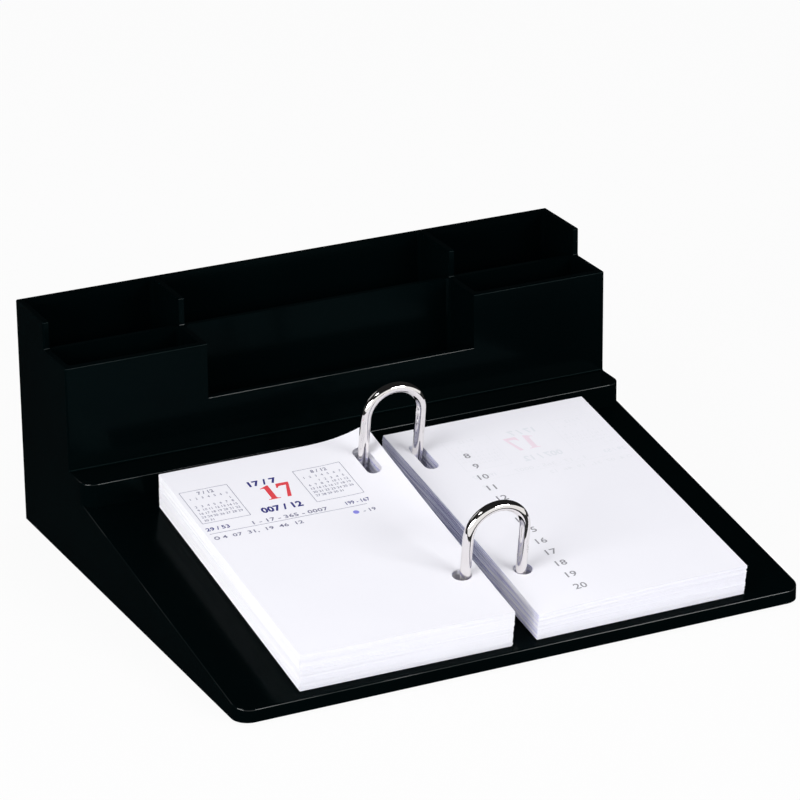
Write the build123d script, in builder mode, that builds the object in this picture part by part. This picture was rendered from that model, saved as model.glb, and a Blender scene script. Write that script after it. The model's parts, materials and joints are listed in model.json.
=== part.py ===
"""Desk organizer with a sloped calendar tray, its two arches and its page blocks.

Origin: centre of the footprint, on the desk. X runs across the width, -Y is the front, +Z is up.
Every length is in millimetres.
"""

from build123d import *
from math import atan2, cos, sin, tan
import os

os.makedirs("parts", exist_ok=True)

# Moulding, outside
width = 212.0
depth = 189.0
back_height = 85.0          # back wall and the rear half of every upright wall
front_height = 74.5         # front wall, partition and the front half of the upright walls
recess_height = 54.0        # lowered front wall of the middle recess
ledge_height = 35.8
tray_rear_height = 27.0     # tray surface where it meets the ledge
tray_front_height = 5.4
step_depth = 26.0           # from the back face to the step in the walls
tower_depth = 45.8          # from the back face to the front wall of the cups
ledge_depth = 59.8          # from the back face to the front of the ledge
recess_width = 105.0
ledge_corner_radius = 5.0
tray_corner_radius = 6.0
edge_radius = 0.6

# Moulding, inside
wall = 2.2
partition = 2.0
floor_thickness = 2.0
rib = 1.6
cup_corner_radius = 1.5
draft = 0.5                 # degrees, so that the cups leave the mould
rim_radius = 0.4            # on the lowered front wall

# Feet
foot_diameter = 9.0
foot_thickness = 2.0
foot_proud = 0.7            # how far a foot stands out below the rim
foot_glue_gap = 0.05
foot_collar = 1.4
foot_inset = 9.0            # from the outer faces to a foot's axis

# Arches
rod_diameter = 3.8
arch_span = 21.4            # between the axes of its two legs
arch_height = 41.0          # from the tray to the top of the bend
rear_arch_rise = 1.5        # how far the rear arch stands short of pushed home
arch_spacing = 80.0         # between the two arches, as punched leaves have their holes
rear_arch_place = 22.2      # from the ledge, down the tray
rod_fit = 0.06              # radial running clearance in a socket
rod_end_gap = 0.2
rod_chamfer = 0.5
socket_floor = 1.2
socket_wall = 2.0
socket_lead_in = 0.5
underside_gap = 1.2         # under the front sockets, above the rim

# Leaves
leaf_width = 80.0
leaf_length = 120.0
leaf_thickness = 0.0687
leaf_gap = 7.8              # between the two stacks
leaf_place = 7.3            # from the ledge to the leaves, down the tray
leaf_seat = 0.1             # between the tray and the lowest leaf
hole_inset = 7.2            # from a leaf's inner edge to the middle of its slot and hole
hole_diameter = 6.8
slot_width = 5.4
slot_length = 17.5
slot_rear_margin = 2.9      # from the rod's rear side to the slot's rear end
leaves_turned = {"january": 31, "february": 29, "march": 31, "april": 30, "may": 31, "june": 30,
                 "july_turned": 16}
leaves_to_come = {"december": 31, "november": 30, "october": 31, "september": 30, "august": 31,
                  "july_to_come": 15}

# Places that follow from the sizes above
rim = foot_proud
back = depth / 2
front = -depth / 2
step = back - step_depth
tower_front = back - tower_depth
ledge_front = back - ledge_depth
floor_top = foot_thickness + floor_thickness
half = width / 2
recess_half = recess_width / 2
cup_width = half - wall - recess_half - partition
cup_middle = recess_half + partition + cup_width / 2
slope = atan2(tray_rear_height - tray_front_height, ledge_front - front)
tray_foot = (0, ledge_front, tray_rear_height)
tray = Plane(origin=tray_foot, x_dir=(1, 0, 0), z_dir=(0, -sin(slope), cos(slope)))
leg = arch_span / 2
front_arch_place = rear_arch_place + arch_spacing
arch_places = {"rear_arch": rear_arch_place, "front_arch": front_arch_place}
arch_rises = {"rear_arch": rear_arch_rise, "front_arch": 0}
tray_under = wall / cos(slope)

# A socket goes down as far as the tray leaves room at the front arch
front_socket_top = tray_rear_height - front_arch_place * sin(slope)
socket_reach = (front_socket_top - rim - underside_gap) / cos(slope) - socket_wall * tan(slope)
socket_depth = socket_reach - socket_floor
socket_radius = rod_diameter / 2 + rod_fit + socket_wall
foot_rows = {"front": front + foot_inset, "rear": back - foot_inset}
foot_hands = {"left": foot_inset - half, "right": half - foot_inset}
foot_places = [(x, y) for x in foot_hands.values() for y in foot_rows.values()]
collar_radius = foot_diameter / 2 + foot_glue_gap + foot_collar
socket_spots = [(side * leg, -place) for side in (-1, 1) for place in arch_places.values()]


def tray_height(y):
    """Height of the tray surface over the desk at one place from front to back."""
    return tray_rear_height - (ledge_front - y) * tan(slope)


# The core leaves the underside open: three bays under the tray, with a rib between them
# at each row of sockets, and a shallow hollow under the cups. Sockets and foot seats stand in it.
bay_outer = half - wall
bays = [(-bay_outer, -leg - rib / 2), (-leg + rib / 2, leg - rib / 2), (leg + rib / 2, bay_outer)]
with BuildPart() as core:
    for low, high in bays:
        with BuildSketch(Plane.YZ.offset(low)):
            with BuildLine():
                Polyline(
                    (tower_front, rim),
                    (tower_front, ledge_height - wall),
                    (ledge_front + wall, ledge_height - wall),
                    (ledge_front + wall, tray_height(ledge_front + wall) - tray_under),
                    (front + wall, tray_height(front + wall) - tray_under),
                    (front + wall, rim),
                    close=True,
                )
            make_face()
        extrude(amount=high - low)
    corners = core.edges().filter_by(Axis.Z).group_by(Axis.Y)[0]
    fillet([corners.sort_by(Axis.X)[0], corners.sort_by(Axis.X)[-1]], tray_corner_radius - wall)
    with BuildSketch(Plane.XY.offset(rim)):
        with Locations((0, (back + front) / 2)):
            RectangleRounded(width - 2 * wall, depth - 2 * wall, tray_corner_radius - wall)
    extrude(amount=min(foot_thickness, tray_height(front + wall) - tray_under) - rim)
    with BuildSketch(Plane.XY.offset(rim)):
        with Locations(*foot_places):
            Circle(collar_radius)
    extrude(amount=ledge_height, mode=Mode.SUBTRACT)
    with BuildSketch(tray):
        with Locations(*socket_spots):
            Circle(socket_radius)
    extrude(amount=-socket_reach, mode=Mode.SUBTRACT)

# One moulding carries the cups, the ledge and the tray
with BuildPart() as stand:
    with BuildSketch(Plane.YZ):
        with BuildLine():
            Polyline(
                (back, rim),
                (back, back_height),
                (step, back_height),
                (step, front_height),
                (tower_front, front_height),
                (tower_front, ledge_height),
                (ledge_front, ledge_height),
                (ledge_front, tray_rear_height),
                (front, tray_front_height),
                (front, rim),
                close=True,
            )
        make_face()
    extrude(amount=half, both=True)
    upright = stand.edges().filter_by(Axis.Z)
    fillet(upright.filter_by(lambda edge: abs(edge.center().Y - front) < wall), tray_corner_radius)
    upright = stand.edges().filter_by(Axis.Z)
    fillet(upright.filter_by(lambda edge: abs(edge.center().Y - ledge_front) < wall), ledge_corner_radius)
    # Every outer edge is rounded, but not the rim and not the foot of the ledge
    outside = stand.edges().filter_by(lambda edge: edge.center().Z > rim + edge_radius)
    ledge_foot = outside.filter_by(
        lambda edge: abs(edge.center().Z - tray_rear_height) < edge_radius
        and edge.center().Y < ledge_front + ledge_corner_radius)
    fillet(outside - ledge_foot, edge_radius)
    # The middle of the front wall is lower
    with BuildSketch(Plane.XZ.offset(-tower_front)):
        with Locations((0, (front_height + recess_height) / 2)):
            Rectangle(recess_width, front_height - recess_height)
    extrude(amount=-wall - cup_corner_radius, mode=Mode.SUBTRACT)
    # Above the front wall the rear compartments run forward to the step in the walls
    columns = {0: recess_width, -cup_middle: cup_width, cup_middle: cup_width}
    open_front = step - cup_corner_radius - edge_radius
    with BuildSketch(Plane.XY.offset(front_height)):
        for x, column_width in columns.items():
            with Locations((x, (back - wall + open_front) / 2)):
                RectangleRounded(column_width, back - wall - open_front, cup_corner_radius)
    extrude(amount=back_height - front_height, mode=Mode.SUBTRACT)
    # Below it there are six compartments, three in each row, which narrow towards the floor
    for row_rear, row_front in ((back - wall, step + partition), (step, tower_front + wall)):
        with BuildSketch(Plane.XY.offset(front_height)):
            for x, column_width in columns.items():
                with Locations((x, (row_rear + row_front) / 2)):
                    RectangleRounded(column_width, row_rear - row_front, cup_corner_radius)
        extrude(amount=floor_top - front_height, taper=draft, mode=Mode.SUBTRACT)
    lip = stand.edges().filter_by(
        lambda edge: abs(edge.center().Y - tower_front) < 0.01 and abs(edge.center().Z - recess_height) < 0.01)
    fillet(lip, rim_radius)
    add(core.part, mode=Mode.SUBTRACT)
    # Foot seats and arch sockets
    with BuildSketch(Plane.XY.offset(rim)):
        with Locations(*foot_places):
            Circle(foot_diameter / 2 + foot_glue_gap)
    extrude(amount=foot_thickness - rim, mode=Mode.SUBTRACT)
    with BuildSketch(tray):
        with Locations(*socket_spots):
            Circle(rod_diameter / 2 + rod_fit)
    extrude(amount=-socket_depth, mode=Mode.SUBTRACT)
    mouths = stand.edges().filter_by(GeomType.CIRCLE).filter_by(
        lambda e: abs(tray.to_local_coords(e.center()).Z) < 0.01)
    chamfer(mouths, socket_lead_in)
stand.part.label = "stand"
export_step(stand.part, "parts/stand.step")

# Non-slip feet, glued into their seats
for row, y in foot_rows.items():
    for hand, x in foot_hands.items():
        with BuildPart() as foot:
            with BuildSketch(Plane.XY):
                with Locations((x, y)):
                    Circle(foot_diameter / 2)
            extrude(amount=foot_thickness)
            fillet(foot.faces().sort_by(Axis.Z)[0].edges(), foot_proud / 2)
        foot.part.label = f"foot_{row}_{hand}"
        export_step(foot.part, f"parts/{foot.part.label}.step")

# Arches of bent rod, which stand square to the tray and pull out of their sockets
bend_height = arch_height - rod_diameter / 2 - leg
foot_of_leg = rod_end_gap - socket_depth
for name, place in arch_places.items():
    stand_point = tray * Location((0, -place, arch_rises[name]))
    across = Plane(origin=stand_point.position, x_dir=(1, 0, 0), z_dir=-tray.y_dir)
    with BuildPart() as arch:
        with BuildLine(across) as path:
            Line((-leg, foot_of_leg), (-leg, bend_height))
            ThreePointArc((-leg, bend_height), (0, bend_height + leg), (leg, bend_height))
            Line((leg, bend_height), (leg, foot_of_leg))
        with BuildSketch(Plane(origin=path.line @ 0, z_dir=path.line % 0)):
            Circle(rod_diameter / 2)
        sweep(path=path.line)
        ends = arch.faces().filter_by(GeomType.PLANE)
        chamfer(ends.edges(), rod_chamfer)
    arch.part.label = name
    export_step(arch.part, f"parts/{name}.step")


def place_leaves(side, months):
    """One solid for each month's leaves, stacked from the tray upwards."""
    middle = side * (leaf_gap + leaf_width) / 2
    punched = side * (leaf_gap / 2 + hole_inset)
    slot_middle = rear_arch_place - rod_diameter / 2 - slot_rear_margin + slot_length / 2
    low = leaf_seat
    for month, count in months.items():
        with BuildPart() as leaves:
            with BuildSketch(tray.offset(low)):
                with Locations((middle, -leaf_place - leaf_length / 2)):
                    Rectangle(leaf_width, leaf_length)
                with Locations((punched, -slot_middle)):
                    SlotOverall(slot_length, slot_width, rotation=90, mode=Mode.SUBTRACT)
                with Locations((punched, -front_arch_place)):
                    Circle(hole_diameter / 2, mode=Mode.SUBTRACT)
            extrude(amount=count * leaf_thickness)
        leaves.part.label = f"leaves_{month}"
        export_step(leaves.part, f"parts/leaves_{month}.step")
        low += count * leaf_thickness


place_leaves(-1, leaves_turned)
place_leaves(1, leaves_to_come)
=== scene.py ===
"""Desk organizer with a calendar tray: glossy black moulding, nickel arches, two stacks of punched leaves.

Pieces are worked out in millimetres on the tray's own axes: x across, y up the slope, z off the tray.
"""

from math import cos, pi, radians
import json

import bpy
import numpy as np
from mathutils import Matrix, Vector
from mathutils.geometry import delaunay_2d_cdt


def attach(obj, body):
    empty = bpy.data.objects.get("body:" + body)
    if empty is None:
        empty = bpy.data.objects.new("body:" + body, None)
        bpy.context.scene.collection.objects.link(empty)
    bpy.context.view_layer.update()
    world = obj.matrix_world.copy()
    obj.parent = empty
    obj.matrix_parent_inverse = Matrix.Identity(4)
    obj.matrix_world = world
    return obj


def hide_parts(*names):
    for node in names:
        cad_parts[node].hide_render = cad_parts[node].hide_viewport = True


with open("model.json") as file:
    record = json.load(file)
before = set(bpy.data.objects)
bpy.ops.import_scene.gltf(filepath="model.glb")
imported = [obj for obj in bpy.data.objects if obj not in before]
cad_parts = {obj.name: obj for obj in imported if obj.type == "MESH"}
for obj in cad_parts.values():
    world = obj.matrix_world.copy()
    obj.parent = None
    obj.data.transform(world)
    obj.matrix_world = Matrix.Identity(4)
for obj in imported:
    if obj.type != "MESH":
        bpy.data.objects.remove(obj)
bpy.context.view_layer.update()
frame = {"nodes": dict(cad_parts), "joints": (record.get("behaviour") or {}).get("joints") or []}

# Stand. One injection moulding in black polystyrene that carries everything else: tower of cups,
# ledge and sloped tray. The mould is polished, so the outside is glossy, with the faint ripple that
# shrinkage leaves on flat walls and, where it is worn, the hairlines of use.

MM = 0.001


class Wire:
    """One output of a node. Sums and comparisons with it add Math nodes to the same tree."""

    def __init__(self, tree, socket):
        self.tree, self.socket = tree, socket

    def math(self, operation, *values):
        return self.tree.node("ShaderNodeMath", {"operation": operation}, dict(enumerate(values)))

    def __add__(self, other):
        return self.math("ADD", self, other)

    def __mul__(self, other):
        return self.math("MULTIPLY", self, other)

    def __sub__(self, other):
        return self.math("SUBTRACT", self, other)

    def __rsub__(self, other):
        return self.math("SUBTRACT", other, self)

    def __lt__(self, other):
        return self.math("LESS_THAN", self, other)

    def __gt__(self, other):
        return self.math("GREATER_THAN", self, other)

    def __abs__(self):
        return self.math("ABSOLUTE", self)

    __radd__, __rmul__ = __add__, __mul__


class Tree:
    """The nodes of a material or of the world, which are added one call at a time."""

    def __init__(self, owner):
        owner.use_nodes = True
        self.nodes, self.links = owner.node_tree.nodes, owner.node_tree.links

    def feed(self, socket, value):
        """Links a wire to a socket, or sets the socket to a plain value."""
        if isinstance(value, Wire):
            self.links.new(value.socket, socket)
        else:
            socket.default_value = value

    def node(self, kind, settings={}, inputs={}, output=0):
        """Adds a node: its settings first, with a ramp's stops as (place, colour), and then its sockets."""
        made = self.nodes.new(kind)
        for key, value in settings.items():
            if key == "stops":
                while len(made.color_ramp.elements) < len(value):
                    made.color_ramp.elements.new(1)
                for stop, (place, colour) in zip(made.color_ramp.elements, value):
                    stop.position, stop.color = place, colour
            else:
                setattr(made, key, value)
        for key, value in inputs.items():
            self.feed(made.inputs[key], value)
        return Wire(self, made.outputs[output])

    def mix(self, share, low, high):
        """From colour low at 0 to colour high at 1."""
        return self.node("ShaderNodeMix", {"data_type": "RGBA"}, {0: share, 6: low, 7: high}, output=2)

    def ramp(self, value, *stops, low=0, high=1):
        """A colour for each value, from stops as (place, colour) whose places lie from low to high."""
        shares = [((place - low) / (high - low), colour) for place, colour in stops]
        share = value if (low, high) == (0, 1) else (value - low) * (1 / (high - low))
        return self.node("ShaderNodeValToRGB", {"stops": shares}, {"Fac": share})

    def axis(self, vector, number):
        """One of a vector's numbers: 0 for X, 1 for Y, 2 for Z."""
        return self.node("ShaderNodeSeparateXYZ", inputs={"Vector": vector}, output=number)

    def dot(self, vector, direction):
        """How far a vector goes in a direction."""
        sockets = {0: vector, 1: direction}
        return self.node("ShaderNodeVectorMath", {"operation": "DOT_PRODUCT"}, sockets, output="Value")


class Finish(Tree):
    """A material round one Principled shader."""

    def __init__(self, name, **constants):
        self.material = bpy.data.materials.new(name)
        super().__init__(self.material)
        self.shader = self.nodes["Principled BSDF"]
        self.set(**constants)

    def along(self, direction):
        """How far the surface faces a direction, from -1 to 1."""
        return self.dot(self.node("ShaderNodeTexCoord", output="Normal"), direction)

    def place(self, turn=(0, 0, 0), stretch=(1, 1, 1)):
        """Object coordinates in millimetres, turned about X, Y and Z and then stretched."""
        here = self.node("ShaderNodeTexCoord", output="Object")
        scale = tuple(share / MM for share in stretch)
        turned = self.node("ShaderNodeMapping", inputs={"Vector": here, "Rotation": turn})
        return self.node("ShaderNodeMapping", inputs={"Vector": turned, "Scale": scale})

    def noise(self, at, size, detail=2.0, roughness=0.5):
        """Noise from 0 to 1 whose largest grains are about that many millimetres."""
        sockets = {"Vector": at, "Scale": 1 / size, "Detail": detail, "Roughness": roughness}
        return self.node("ShaderNodeTexNoise", inputs=sockets)

    def set(self, **sockets):
        """Feeds the shader's own sockets."""
        for key, value in sockets.items():
            self.feed(self.shader.inputs[key.replace("_", " ")], value)

    def emboss(self, height, depth):
        """A bump of that depth in millimetres where height goes from 0 to 1."""
        sockets = {"Height": height, "Distance": depth * MM, "Strength": 1.0}
        self.set(Normal=self.node("ShaderNodeBump", inputs=sockets))


def grey(value):
    return (value, value, value, 1)


def gloss_black():
    """The rounded edges, which face between level and straight up, are rubbed brighter than the walls where
    hands pass: along the tray and the ledge and at the lowered wall, but hardly higher up. How far a place
    stands up and forward tells these apart. A low index keeps the walls black under soft lamps."""
    plastic = Finish("gloss_black", IOR=1.09, Specular_Tint=(0.6, 1, 1, 1), Coat_Roughness=0.08)
    here = plastic.place()
    edges = plastic.ramp(plastic.along((0, 0, 1)), (0.10, grey(0)), (0.25, grey(1)), (0.90, grey(1)),
                         (0.96, grey(0)))
    up_and_forward, hardly = plastic.axis(here, 2) - plastic.axis(here, 1), grey(0.12)
    touched = plastic.ramp(up_and_forward, (-10, grey(0)), (-4, grey(1)), (6, grey(1)), (8, hardly),
                           (30, hardly), (40, grey(1)), low=-30, high=70)
    rubbed = plastic.ramp(plastic.noise(here, 40), (0.40, grey(0.15)), (0.58, grey(0.8)))
    ripple = plastic.noise(here, 14, detail=1)
    grain = plastic.noise(here, 0.5)
    hairlines = plastic.noise(plastic.place((0, 0, radians(24)), (0.02, 1, 1)), 0.22, detail=1)
    worn = plastic.ramp(plastic.noise(here, 45, detail=3), (0.42, grey(0)), (0.72, grey(1)))
    marks = plastic.ramp(hairlines, (0.62, grey(0)), (0.72, grey(1))) * worn
    cloud = plastic.noise(here, 60)
    plastic.set(
        Base_Color=plastic.mix(cloud, (0.0003, 0.0010, 0.0012, 1), (0.0005, 0.0022, 0.0025, 1)),
        Roughness=0.13 + 0.05 * cloud + 0.10 * marks,
        Coat_Weight=edges * touched * rubbed,
    )
    plastic.emboss(ripple * 0.7 + grain * 0.06 + marks * 0.02, 0.03)
    return plastic.material


def dress(node, material):
    """Gives a CAD node its finish."""
    frame["nodes"][node].material_slots[0].material = material


dress("stand", gloss_black())

# Feet. Four round pads of dull black rubber, punched from sheet and glued into seats in the
# underside, so they have a fine matt grain.


def rubber_grain():
    """Dull black with pores of a third of a millimetre, and a little dust."""
    rubber = Finish("rubber", Specular_IOR_Level=0.3)
    here = rubber.place()
    pores = rubber.noise(here, 0.35, detail=3)
    dust = rubber.noise(here, 3, detail=3)
    rubber.set(
        Base_Color=rubber.mix(dust, (0.018, 0.018, 0.018, 1), (0.05, 0.049, 0.047, 1)),
        Roughness=0.72 + 0.2 * pores,
    )
    rubber.emboss(pores, 0.05)
    return rubber.material


foot_rubber = rubber_grain()
for row in ("front", "rear"):
    for hand in ("left", "right"):
        dress(f"foot_{row}_{hand}", foot_rubber)

# Arches. Two lengths of 3.8 mm steel rod, bent to an inverted U, polished and plated with bright
# nickel. They push into sockets in the tray and hold the leaves by their punched holes.


def bright_nickel():
    """A mirror with a faint bloom, and polishing marks along the legs."""
    nickel = Finish("bright_nickel", Metallic=1.0)
    here = nickel.place()
    bloom = nickel.noise(here, 5, detail=3)
    polish = nickel.noise(nickel.place(stretch=(1, 1, 0.08)), 0.25)
    nickel.set(
        Base_Color=nickel.mix(bloom, (0.80, 0.765, 0.745, 1), (0.88, 0.86, 0.85, 1)),
        Roughness=0.03 + 0.04 * bloom + 0.02 * polish,
    )
    nickel.emboss(polish * 0.3 + bloom * 0.7, 0.004)
    return nickel.material


nickel_plate = bright_nickel()
for arch in ("rear_arch", "front_arch"):
    dress(arch, nickel_plate)

# Leaves. A year's calendar of thin white paper, 80 x 120 mm, cut and punched in one block and then
# turned leaf by leaf, so each lies a hair out of line with the next. Each month's leaves are a piece.

pull = {joint["name"]: joint for joint in frame["joints"]}["rear_arch_pull"]
off_tray = np.array(pull["axis"], float)
tray_axes = np.array([(1, 0, 0), (0, off_tray[2], -off_tray[1]), off_tray])
tray_slope = np.arcsin(-off_tray[1])

leaf_thickness = 0.0687
slot_width, slot_length, slot_rear_margin = 5.4, 17.0, 3.4
hole_diameter, hole_inset = 6.8, 7.2                # the inset from the leaf's inner edge is the slot's too
hole_rise = 0.8                                     # of its middle, up the slope from the front arch's
punch_points, punch_margin = 28, 0.6                # round a slot or a hole, and the clear space about it
block_spacing = 20.0                                # between points of a block of leaves
pivot_place = 40.0                                  # in front of the rear arch
stack_turn = {-1: -0.011, 1: 0.002}                 # radians about the pivot, as they lie on the arches
stack_shift = {-1: (-0.25, -0.4), 1: (0.6, -0.1)}   # across and up, by the play in their holes
short_cut, cut_drift = 2.5, 0.056                   # too narrow at the tray, and less so per millimetre up
ragged = {-1: (0.08, 0.03), 1: (0.06, 0.10)}        # how far leaves lie out of line, across and up
ragged_single, ragged_most = 0.4, 0.3               # a single leaf's share of that, and the most of all
handful = 5                                         # leaves that were turned together
leaf_turn = 0.0012                                  # radians, one leaf against the next
outer_sag, inner_sag = 0.03, 0.16                   # shares of the stacks' heights
crease = radians(25)                                # beyond it an edge is sharp
chance = np.random.default_rng(16)


def reach(node):
    """Lowest and highest corner of a CAD node on the tray's axes, in millimetres."""
    mesh = frame["nodes"][node].data
    points = np.zeros(len(mesh.vertices) * 3)
    mesh.vertices.foreach_get("co", points)
    on_tray = points.reshape(-1, 3) @ tray_axes.T / MM
    return on_tray.min(0), on_tray.max(0)


tray_top = reach("leaves_january")[0][2]


def leaf_corners(node):
    """The corners of the leaves that a node stands for. The blade drifted as it cut the outer edge of the
    turned ones: they are narrower by short_cut at the tray, and by cut_drift less for each millimetre up."""
    low, high = reach(node)
    if low[0] < 0:
        low[0] += short_cut - cut_drift * (low[2] - tray_top)
    return low, high


def side_of(low):
    """-1 for the turned leaves, on the left, and 1 for those to come."""
    return 1 if low[0] > 0 else -1


def make_piece(name, points, faces, material, body):
    """Makes a piece from points on the tray's axes, in millimetres, that rides on a CAD body."""
    mesh = bpy.data.meshes.new(name)
    mesh.from_pydata((points @ tray_axes * MM).tolist(), [], [list(map(int, face)) for face in faces])
    mesh.materials.append(material)
    mesh.shade_smooth()
    mesh.set_sharp_from_angle(angle=crease)
    piece = bpy.data.objects.new(name, mesh)
    bpy.context.scene.collection.objects.link(piece)
    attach(piece, body)
    return piece


def oblong(middle, length, width):
    """A round-ended slot: the point at angle a on a circle, moved by half the straight run, up for
    sin a above 0 and down below it."""
    angle = 2 * pi * (np.arange(punch_points) + 0.5) / punch_points
    run = np.sign(np.sin(angle)) * (length - width) / 2
    circle = width / 2 * np.stack([np.cos(angle), np.sin(angle)], 1)
    return middle + circle + np.stack([0 * run, run], 1)


def border(low, high, spacing):
    """The leaf's outline, anticlockwise from its front left corner, with points at an even spacing."""
    corners = np.array([low[:2], (high[0], low[1]), high[:2], (low[0], high[1])])
    sides = []
    for start, end in zip(corners, np.roll(corners, -1, axis=0)):
        count = max(1, round(np.linalg.norm(end - start) / spacing))
        sides.append(start + (end - start) * np.arange(count)[:, None] / count)
    return np.concatenate(sides)


rear_rod, front_rod = reach("rear_arch"), reach("front_arch")
rod_diameter = rear_rod[1][1] - rear_rod[0][1]
leg = rear_rod[1][0] - rod_diameter / 2
front_arch_y = (front_rod[0][1] + front_rod[1][1]) / 2
slot_middle_y = rear_rod[1][1] + slot_rear_margin - slot_length / 2


def leaf_loops(low, high, spacing):
    """Outline, slot and hole of the leaves between two corners."""
    punched = low[0] + hole_inset if low[0] > 0 else high[0] - hole_inset
    slot = oblong(np.array([punched, slot_middle_y]), slot_length, slot_width)
    hole = oblong(np.array([punched, front_arch_y + hole_rise]), hole_diameter, hole_diameter)
    return [border(low, high, spacing), slot, hole]


def fill(loops, extra):
    """Triangles, anticlockwise, over the outline and around its slot and hole, also through the extra
    points. Returns all points, with those of the loops first, and the triangles."""
    points = np.concatenate([*loops, extra])
    starts = np.cumsum([0] + [len(loop) for loop in loops])
    edges = [(start + i, start + (i + 1) % len(loop)) for start, loop in zip(starts, loops)
             for i in range(len(loop))]
    made = delaunay_2d_cdt([Vector(p) for p in points], edges, [], 0, 1e-6)
    triangles = np.array(made[2])
    middles = np.array(made[0])[triangles].mean(1)
    inside = np.ones(len(triangles), bool)
    for loop in loops[1:]:
        centre, size = (loop.min(0) + loop.max(0)) / 2, np.ptp(loop, 0)
        past_run = np.maximum(np.abs(middles - centre)[:, 1] - (size[1] - size[0]) / 2, 0)
        chord_middle = size[0] / 2 * cos(pi / punch_points)
        inside &= np.hypot(middles[:, 0] - centre[0], past_run) > chord_middle * 0.999
    return points, triangles[inside]


def inner_points(low, high, loops, spacing):
    """A grid of points over a leaf, clear of its border, its slot and its hole."""
    steps = [np.arange(low[i] + spacing, high[i] - spacing / 2, spacing) for i in range(2)]
    grid = np.stack(np.meshgrid(*steps), -1).reshape(-1, 2)
    for loop in loops[1:]:
        centre, size = (loop.min(0) + loop.max(0)) / 2, np.ptp(loop, 0)
        grid = grid[np.any(np.abs(grid - centre) > size / 2 + punch_margin, axis=1)]
    return grid


def wall_faces(loops, levels):
    """Quads between consecutive levels of the loops, where a level holds every loop's points in turn. Those
    of the slot and the hole are turned round, because they face inwards."""
    quads, start = [], 0
    total = sum(len(loop) for loop in loops)
    for number, loop in enumerate(loops):
        i = start + np.arange(len(loop))
        j = start + (np.arange(len(loop)) + 1) % len(loop)
        quad = np.stack([i, j, j + total, i + total], 1)
        quads.append(quad[:, ::-1] if number else quad)
        start += len(loop)
    one_level = np.concatenate(quads)
    return (one_level[None] + total * np.arange(levels - 1)[:, None, None]).reshape(-1, 4)


def lying(points, side, more_turn=0.0):
    """Points of a stack's leaves as they lie on the arches: turned about the stack's pivot by the stack's
    angle and by more, which may be an array with one for each leaf, and moved by the stack's shift."""
    pivot = np.array([side * leg, rear_rod[0][1] - pivot_place])
    angle = np.asarray(stack_turn[side] + more_turn)[..., None]
    x, y = points[..., 0] - pivot[0], points[..., 1] - pivot[1]
    turned = np.stack([np.cos(angle) * x - np.sin(angle) * y, np.sin(angle) * x + np.cos(angle) * y], -1)
    return pivot + turned + stack_shift[side]


def settled(points, low, high, height):
    """The height of a leaf's points. At the outer edge of the turned leaves it falls by outer_sag at the
    rear and rises by as much at the front. Those to come lie lower towards their inner front corner, with
    the cube of the way there, and by inner_sag at the corner."""
    outward = (np.abs(points[:, 0]) - min(abs(low[0]), abs(high[0]))) / (high[0] - low[0])
    forward = (high[1] - points[:, 1]) / (high[1] - low[1])
    if low[0] < 0:
        sag = outer_sag * outward * (1 - 2 * forward)
    else:
        sag = inner_sag * ((1 - outward) * forward) ** 3
    return tray_top + (height - tray_top) * (1 - sag)


def month_of_leaves(name, node, body, material, left_off=0):
    """A block of leaves as one closed surface. Leaf k fills the height from k to k + 1 thicknesses, and its
    outline is the common one, turned by its own small angle and moved by its own small shift. The shifts
    are the sum of a step that a handful of leaves share and a finer one. The leaves left off are the
    topmost."""
    low, high = leaf_corners(node)
    high[2] -= left_off * leaf_thickness
    count = round((high[2] - low[2]) / leaf_thickness)
    loops = leaf_loops(low, high, block_spacing)
    grid = inner_points(low, high, loops, block_spacing)
    side = side_of(low)
    together = chance.normal(0, ragged[side], (count // handful + 1, 2)).repeat(handful, axis=0)[:count]
    single = chance.normal(0, ragged_single, (count, 2)) * ragged[side]
    shifts = np.clip(together + single, -ragged_most, ragged_most)
    leaf, cap = fill(loops, grid)
    leaves = lying(leaf[None], side, chance.normal(0, leaf_turn, count)) + shifts[:, None]
    steps = np.stack([np.arange(count), np.arange(count) + 1], 1).ravel()
    heights = settled(leaf, low, high, (low[2] + (high[2] - low[2]) * steps / count)[:, None])
    levels = np.concatenate([np.repeat(leaves, 2, axis=0), heights[..., None]], 2)
    on_border = len(leaf) - len(grid)
    walls, bottom, top = levels[:, :on_border].reshape(-1, 3), levels[0, on_border:], levels[-1, on_border:]
    last_level = on_border * (2 * count - 1)
    under = np.where(cap < on_border, cap, cap + last_level)
    over = cap + last_level + np.where(cap < on_border, 0, len(grid))
    faces = [*wall_faces(loops, 2 * count), *under[:, ::-1], *over]
    piece = make_piece(name, np.concatenate([walls, bottom, top]), faces, material, body)
    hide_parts(node)


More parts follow.
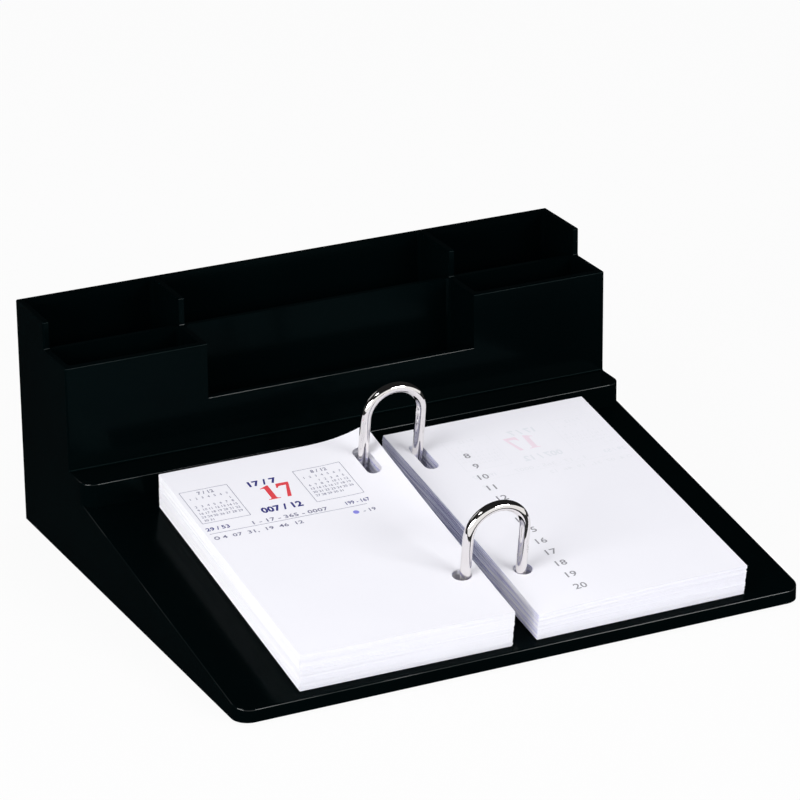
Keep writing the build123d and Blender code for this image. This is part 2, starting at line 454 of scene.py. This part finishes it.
def calendar_paper():
    """White pages with a fine tooth. The cut edges are streaked by the leaves and carry painted light and
    shade: those on the outer sides are painted the brightest, those facing front darker, and those between
    the stacks get painted shade, greyer and banded, darkest behind the front arch."""
    paper = Finish("calendar_paper", Specular_IOR_Level=0.25)
    on_tray = paper.place((-tray_slope, 0, 0))
    edge = paper.place((-tray_slope, 0, 0), (0.03, 0.03, 1))
    fibres = paper.noise(on_tray, 0.4, detail=3)
    mottle = paper.noise(on_tray, 25, detail=3)
    streaks = paper.noise(edge, 0.16, detail=3, roughness=0.7)
    # Bands of painted shade on the faces between the stacks.
    painted_shade_bands = paper.ramp(paper.noise(edge, 0.9, detail=3), (0.40, grey(0)), (0.58, grey(1)))
    cut = paper.ramp(abs(paper.along(tuple(off_tray))), (0.35, grey(1)), (0.60, grey(0)))
    across, up = paper.axis(on_tray, 0), paper.axis(on_tray, 1)
    sideways = abs(paper.along((1, 0, 0)))
    # How deep the painted shade between the stacks is along the slope: deepest behind the front arch,
    # lightest in front of it.
    paler = paper.ramp(up, (-5, grey(0.35)), (-43, grey(0)), (-55, grey(1)), high=-100)
    # The faces between the stacks, which get the painted shade.
    between = paper.ramp(abs(across), (18, grey(1)), (22, grey(0)), high=50) * sideways
    page = paper.mix(mottle, (0.875, 0.872, 0.926, 1), (0.905, 0.900, 0.951, 1))
    # Painted light and shade on the cut edges: those facing front are painted darker, those on the outer
    # sides painted brighter.
    front = paper.mix(streaks, (0.765, 0.766, 0.81, 1), (0.785, 0.786, 0.83, 1))
    outer = paper.mix(streaks, (0.96, 0.96, 0.965, 1), grey(1))
    # Painted shade between the stacks, in a darker and a lighter banded tone.
    painted_gap_shade = paper.mix(paler, (0.16, 0.16, 0.42, 1), (0.42, 0.42, 0.74, 1))
    light = paper.mix(paler, (0.68, 0.72, 0.90, 1), grey(1))
    edges = paper.mix(between, paper.mix(sideways, front, outer), paper.mix(painted_shade_bands, painted_gap_shade, light))
    paper.set(Base_Color=paper.mix(cut, page, edges), Roughness=0.62 + 0.2 * fibres)
    paper.emboss(fibres * 0.2 + streaks * cut * 0.5, 0.04)
    return paper.material


white_paper = calendar_paper()
turned_months = ("january", "february", "march", "april", "may", "june")
coming_months = ("december", "november", "october", "september", "august")
for month in turned_months:
    month_of_leaves(f"sheets_{month}", f"leaves_{month}", "left_leaves", white_paper)
for month in coming_months:
    month_of_leaves(f"sheets_{month}", f"leaves_{month}", "right_leaves", white_paper)
month_of_leaves("sheets_july_turned", "leaves_july_turned", "left_top_leaves", white_paper, left_off=1)
month_of_leaves("sheets_july_to_come", "leaves_july_to_come", "right_top_leaves", white_paper, left_off=1)

# Top leaves. The one that was turned last and the one to come, on top of their stacks. Thin paper doesn't
# lie dead flat: both wave a little, and the turned one curls up along its punched side, most at the rear.

page_spacing = 2.0
wave_height = 0.05
curl_height, curl_length, curl_width = 4.3, 125.0, 28.0


def page_lift(points, low, high):
    """How far a point of a top leaf is off its stack: wave_height times the squares of sin(x/17 + y/29) and
    of sin(y/21 - x/37), with x and y right and down from the rear left corner. On the turned leaf the
    punched side curls up as well: curl_height times the cube of the share of curl_width that is left, and
    times the power 1.5 of the share of curl_length that is left."""
    x, y = points[:, 0] - low[0], high[1] - points[:, 1]
    lift = wave_height * np.sin(x / 17 + y / 29) ** 2 + wave_height * np.sin(y / 21 - x / 37) ** 2
    if low[0] < 0:
        inwards = np.clip(1 - (high[0] - points[:, 0]) / curl_width, 0, 1)
        rearwards = np.clip(1 - y / curl_length, 0, 1)
        lift += curl_height * inwards ** 3 * rearwards ** 1.5
    return lift


def top_leaf(name, node, body, material):
    """A single leaf with its holes: the grid's points and the loops' points, lifted by page_lift, one
    thickness apart above and below."""
    low, high = leaf_corners(node)
    loops = leaf_loops(low, high, page_spacing)
    flat, triangles = fill(loops, inner_points(low, high, loops, page_spacing))
    height = settled(flat, low, high, high[2]) + page_lift(flat, low, high)
    upper = np.column_stack([lying(flat, side_of(low)), height])
    lower = upper - (0, 0, leaf_thickness)
    on_border = sum(map(len, loops))
    walls = wall_faces(loops, 2)
    walls = np.where(walls < on_border, walls, walls - on_border + len(flat))
    faces = [*walls, *triangles[:, ::-1], *(triangles + len(flat))]
    piece = make_piece(name, np.concatenate([lower, upper]), faces, material, body)
    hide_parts(node)


top_leaf("top_leaf_turned", "leaves_july_turned", "left_top_leaves", white_paper)
top_leaf("top_leaf_to_come", "leaves_july_to_come", "right_top_leaves", white_paper)

# Print. Offset inks on the top leaves, in plain numerals: the date, the month's and the next month's grid
# in thin frames, the day's count, and the hours down the leaf to come. The print on that leaf's back shows
# through, faint and the other way round. Places are from a leaf's rear left corner, right and down.

ink_height, ink_depth = 0.03, 0.01          # over and in the paper
through_height = 0.012                      # of the print that shows through
through_right, through_rise = 79.2, 2.5     # where its left edge comes to lie, and how far up it is
rule_width = 0.16
across_stops, down_stops = 12, 8            # along a rule, so that it follows the paper
ring_points = 24
# the date's figures as outlines, anticlockwise, in shares of their height
serif_one = [(.06, 0), (.56, 0), (.56, .04), (.47, .05), (.42, .1), (.42, 1), (.37, 1), (.03, .85),
             (.04, .81), (.13, .835), (.19, .81), (.2, .76), (.2, .1), (.15, .05), (.06, .04)]
serif_seven = [(.19, 0), (.36, 0), (.62, .93), (.62, 1), (.1, 1), (.03, .7), (.07, .69), (.14, .79),
               (.22, .82), (.47, .82)]


def numerals(text, height, right, down, align="CENTER", weight=0.0, spread=1.0):
    """Plain numerals as points and faces, wider than the font's by the spread. Their middle is as far down
    as asked, and a point's third number is 0 on the paper and 1 on top of the ink."""
    curve = bpy.data.curves.new("numerals", "FONT")
    curve.body, curve.align_x, curve.offset = text, align, weight
    curve.extrude, curve.resolution_u = 0.5, 2
    holder = bpy.data.objects.new("numerals", curve)
    mesh = bpy.data.meshes.new_from_object(holder)
    points = np.zeros(len(mesh.vertices) * 3)
    mesh.vertices.foreach_get("co", points)
    points = points.reshape(-1, 3)
    faces = [list(face.vertices) for face in mesh.polygons]
    bpy.data.objects.remove(holder)
    bpy.data.curves.remove(curve)
    bpy.data.meshes.remove(mesh)
    scale = height / np.ptp(points[:, 1])
    flat = (points[:, :2] - (0, points[:, 1].min())) * (scale * spread, scale) - (0, height / 2)
    return np.column_stack([flat + (right, -down), points[:, 2] > 0]), faces


def slab(outline):
    """An outline, anticlockwise, as points and faces with a lower and an upper face."""
    count = len(outline)
    flat = np.array(outline, float)
    points = np.concatenate([np.column_stack([flat, np.full(count, height)]) for height in (0.0, 1.0)])
    i = np.arange(count)
    j = (i + 1) % count
    walls = np.stack([i, j, j + count, i + count], 1).tolist()
    return points, [i[::-1].tolist(), (i + count).tolist(), *walls]


def rule(left, right, top, bottom):
    """A straight rule between two corners, in short lengths."""
    if right - left > bottom - top:
        stops = np.linspace(left, right, across_stops)
        return [slab([(a, -bottom), (b, -bottom), (b, -top), (a, -top)]) for a, b in zip(stops, stops[1:])]
    stops = np.linspace(top, bottom, down_stops)
    return [slab([(left, -b), (right, -b), (right, -a), (left, -a)]) for a, b in zip(stops, stops[1:])]


def frame_of_rules(left, right, top, bottom):
    """Four rules whose middles are the sides of a rectangle."""
    half = rule_width / 2
    edges = [(left, right, top - half, top + half), (left, right, bottom - half, bottom + half),
             (left - half, left + half, top, bottom), (right - half, right + half, top, bottom)]
    return [piece for edge in edges for piece in rule(*edge)]


def ring(right, down, outer, inner):
    """A ring of short lengths between two radii, or a disc if it has no inner radius."""
    angle = 2 * pi * np.arange(ring_points) / ring_points
    circle = np.stack([np.cos(angle), np.sin(angle)], 1)
    if not inner:
        return [slab((right, -down) + outer * circle)]
    return [slab((right, -down) + np.array([inner * a, outer * a, outer * b, inner * b]))
            for a, b in zip(circle, np.roll(circle, -1, axis=0))]


def serif_date(height, right, down):
    """The day's number in bold serif figures, one to the left of a place and one to the right."""
    places = (right - 0.62 * height, right + 0.02 * height)
    return [slab(np.array(figure) * height + (left, -down - height / 2))
            for figure, left in zip((serif_one, serif_seven), places)]


grid_width, grid_top, grid_bottom = 17.8, 14.1, 35.2
title_height, title_down = 1.9, 16.3
weekday_height, weekdays_down = 1.2, 19.3
day_height, days_down = 1.25, 22.2
day_inset, day_pitch = 2.1, 2.27


def month_grid(left, title, first_column, days):
    """A month's frame: title, days of the week, and its days in rows of seven."""
    shapes = frame_of_rules(left, left + grid_width, grid_top, grid_bottom)
    shapes.append(numerals(title, title_height, left + grid_width / 2, title_down, weight=0.01))
    columns = left + day_inset + day_pitch * np.arange(7)
    rows = days_down + day_pitch * np.arange(6)
    for number, column in enumerate(columns, 1):
        shapes.append(numerals(str(number), weekday_height, column, weekdays_down))
    for day in range(days):
        row, column = divmod(day + first_column, 7)
        shapes.append(numerals(str(day + 1), day_height, columns[column], rows[row]))
    return shapes


def printing_ink(name, colour, paler):
    """Ink that is paler where the paper took less of it."""
    ink = Finish(name, Specular_IOR_Level=0.3)
    here = ink.place()
    coverage = ink.noise(here, 0.5, detail=3)
    ink.set(Base_Color=ink.mix(coverage, (*colour, 1), (*paler, 1)), Roughness=0.55 + 0.2 * coverage)
    ink.emboss(coverage, 0.01)
    return ink.material


def print_on(name, shapes, node, body, material, mirrored=False):
    """Joins shapes into one piece on a top leaf, the other way round for print that shows through."""
    low, high = leaf_corners(node)
    starts = np.cumsum([0] + [len(points) for points, _ in shapes])
    points = np.concatenate([points for points, _ in shapes])
    faces = [[start + i for i in face] for start, (_, some) in zip(starts, shapes) for face in some]
    if mirrored:
        points[:, :2] = np.column_stack([through_right - points[:, 0], points[:, 1] + through_rise])
        faces = [face[::-1] for face in faces]
    flat = points[:, :2] + (low[0], high[1])
    height = settled(flat, low, high, high[2]) + page_lift(flat, low, high)
    height += points[:, 2] * ((through_height if mirrored else ink_height) + ink_depth) - ink_depth
    placed = lying(flat, side_of(low))
    make_piece(name, np.column_stack([placed, height]), faces, material, body)


line_down = 42.1
date_print = {
    "red": serif_date(9.0, 34.3, 24.0),
    "blue": [numerals("17 / 7", 3.4, 31.1, 17.0, weight=0.035, spread=1.1),
             numerals("007 / 12", 3.6, 31.5, 34.1, weight=0.035),
             numerals("29 / 53", 2.1, 1.1, 39.2, "LEFT", 0.015, 1.1),
             numerals("199 - 167", 2.1, 62.1, 39.5, "RIGHT", 0.01, 0.84)],
    "grey": [*month_grid(1.6, "7 / 12", 6, 31), *month_grid(44.3, "8 / 12", 2, 31),
             *rule(1.3, 60.0, line_down - rule_width / 2, line_down + rule_width / 2),
             numerals("1 - 17 - 365 - 0007", 2.1, 31.6, 40.2, weight=0.01, spread=1.3),
             numerals("4  07  31,  19  46  12", 2.2, 4.7, 45.3, "LEFT", 0.01, 1.35),
             numerals("- 19", 2.0, 61.6, 45.9, "RIGHT", 0.01, 1.1),
             *ring(2.7, 45.1, 1.0, 0.6)],
    "pale_blue": ring(54.2, 45.8, 1.1, 0),
}
first_hour, last_hour = 8, 20
hour_height, hours_right, hours_down, hour_pitch = 3.1, 23.1, 22.8, 7.29
hours = [numerals(str(hour), hour_height, hours_right, hours_down + hour_pitch * (hour - first_hour),
                  "RIGHT", 0.008, 1.15)
         for hour in range(first_hour, last_hour + 1)]
inks = {
    "red": printing_ink("ink_red", (0.72, 0.035, 0.05), (0.80, 0.08, 0.10)),
    "blue": printing_ink("ink_blue", (0.010, 0.010, 0.16), (0.03, 0.03, 0.25)),
    "grey": printing_ink("ink_grey", (0.11, 0.11, 0.20), (0.24, 0.24, 0.35)),
    "pale_blue": printing_ink("ink_pale_blue", (0.20, 0.20, 0.72), (0.32, 0.32, 0.80)),
    "hours": printing_ink("ink_hours", (0.24, 0.24, 0.26), (0.36, 0.36, 0.39)),
}
shown_through = {
    "red": printing_ink("ink_red_through", (0.88, 0.70, 0.80), (0.88, 0.80, 0.87)),
    "blue": printing_ink("ink_blue_through", (0.77, 0.79, 0.84), (0.83, 0.84, 0.89)),
    "grey": printing_ink("ink_grey_through", (0.81, 0.815, 0.86), (0.85, 0.855, 0.90)),
}
for name, shapes in date_print.items():
    print_on(f"print_{name}", shapes, "leaves_july_turned", "left_top_leaves", inks[name])
print_on("print_hours", hours, "leaves_july_to_come", "right_top_leaves", inks["hours"])
for name, ink in shown_through.items():
    print_on(f"print_{name}_through", date_print[name], "leaves_july_to_come", "right_top_leaves", ink,
             mirrored=True)

# Floor, light and camera. A white sweep, a large soft lamp in front, whose reflection draws the rounded
# edges, one on the left, and a small one high up, under a pale ceiling. Reflections show black cloth in the
# ceiling's place, which keeps the gloss black, and a strip behind on the left for the tray's side edge.


def lamp(name, spot, aim, size, power):
    """A rectangular lamp, width by height in metres, that stands at a spot and is turned to an aim."""
    light = bpy.data.lights.new(name, "AREA")
    light.shape, light.size, light.size_y = "RECTANGLE", size[0], size[1]
    light.energy = power
    holder = bpy.data.objects.new(name, light)
    holder.location = spot
    holder.rotation_euler = (Vector(aim) - Vector(spot)).to_track_quat("-Z", "Y").to_euler()
    bpy.context.scene.collection.objects.link(holder)


def seen_and_glossy(tree):
    """Two outputs: 1 for rays from the camera, straight or through glass, and 1 for reflected ones."""
    rays = (f"Is {ray} Ray" for ray in ("Camera", "Transmission", "Glossy"))
    camera_ray, through_ray, glossy_ray = (tree.node("ShaderNodeLightPath", output=ray) for ray in rays)
    return camera_ray + through_ray, glossy_ray


def white_sweep():
    """White to the camera and through glass, with the object's shadow. A reflection shows a white card in
    front of the tray, from card_edge millimetres on, and black cloth elsewhere."""
    card_edge = 130
    own_glow = 0.93     # the rest of the white is lit, and so takes the shadow
    sweep = Finish("white_sweep", Base_Color=grey(0.8), Roughness=0.9)
    seen, glossy_ray = seen_and_glossy(sweep)
    card = sweep.mix(sweep.axis(sweep.place(), 1) < -card_edge, grey(0.03), grey(0.95))
    glow = sweep.node("ShaderNodeEmission", inputs={"Color": sweep.mix(glossy_ray, grey(1), card)})
    lit = Wire(sweep, sweep.shader.outputs[0])
    both = sweep.node("ShaderNodeMixShader", inputs={0: seen * own_glow + glossy_ray, 1: lit, 2: glow})
    sweep.feed(sweep.nodes["Material Output"].inputs["Surface"], both)
    return sweep.material


floor_size = 8.0
floor_mesh = bpy.data.meshes.new("floor")
corners = [(x * floor_size / 2, y * floor_size / 2, 0) for x, y in ((-1, -1), (1, -1), (1, 1), (-1, 1))]
floor_mesh.from_pydata(corners, [], [(0, 1, 2, 3)])
floor_mesh.materials.append(white_sweep())
floor = bpy.data.objects.new("floor", floor_mesh)
bpy.context.scene.collection.objects.link(floor)

stand_middle = (0, 0, 0.03)
lamp("key", (0.65, -1.24, 0.52), stand_middle, (0.7, 0.34), 9.8)
lamp("fill", (-1.26, -0.60, 0.37), stand_middle, (0.9, 0.5), 13.9)
lamp("spark", (-0.67, -0.38, 0.93), stand_middle, (0.30, 0.14), 1.2)

world = bpy.data.worlds.new("studio")
bpy.context.scene.world = world
studio = Tree(world)
towards = studio.node("ShaderNodeTexCoord", output="Generated")
cloth = studio.ramp(studio.dot(towards, (0, 0.3, 1)), (0.04, grey(1)), (0.09, grey(0.015)))
strip = studio.ramp(studio.dot(towards, (-0.48, 0.72, 0.50)), (0.965, grey(0)), (0.975, grey(0.5)))
ceiling = studio.ramp(studio.dot(towards, (0, 0, 1)), (0, (0.30, 0.30, 0.31, 1)),
                      (1, (0.69, 0.69, 0.70, 1)))
seen, glossy_ray = seen_and_glossy(studio)
around = studio.mix(glossy_ray, ceiling, cloth + strip)
studio.feed(studio.nodes["Background"].inputs["Color"], studio.mix(seen, around, grey(1)))

camera_place = (-0.58147, -1.19673, 0.59713)
camera_heading = radians(25.870)    # to the right of straight back
camera_pitch = radians(21.955)      # below the horizon
camera_roll = radians(-0.567)
camera_lens, camera_sensor = 186.06, 36

camera = bpy.data.cameras.new("camera")
camera.lens, camera.sensor_width = camera_lens, camera_sensor
viewpoint = bpy.data.objects.new("camera", camera)
aim = Matrix.Rotation(-camera_heading, 4, "Z") @ Matrix.Rotation(pi / 2 - camera_pitch, 4, "X")
viewpoint.matrix_world = Matrix.Translation(camera_place) @ aim @ Matrix.Rotation(camera_roll, 4, "Z")
bpy.context.scene.collection.objects.link(viewpoint)
bpy.context.scene.camera = viewpoint
bpy.context.scene.view_settings.view_transform = "Standard"

bpy.context.view_layer.update()
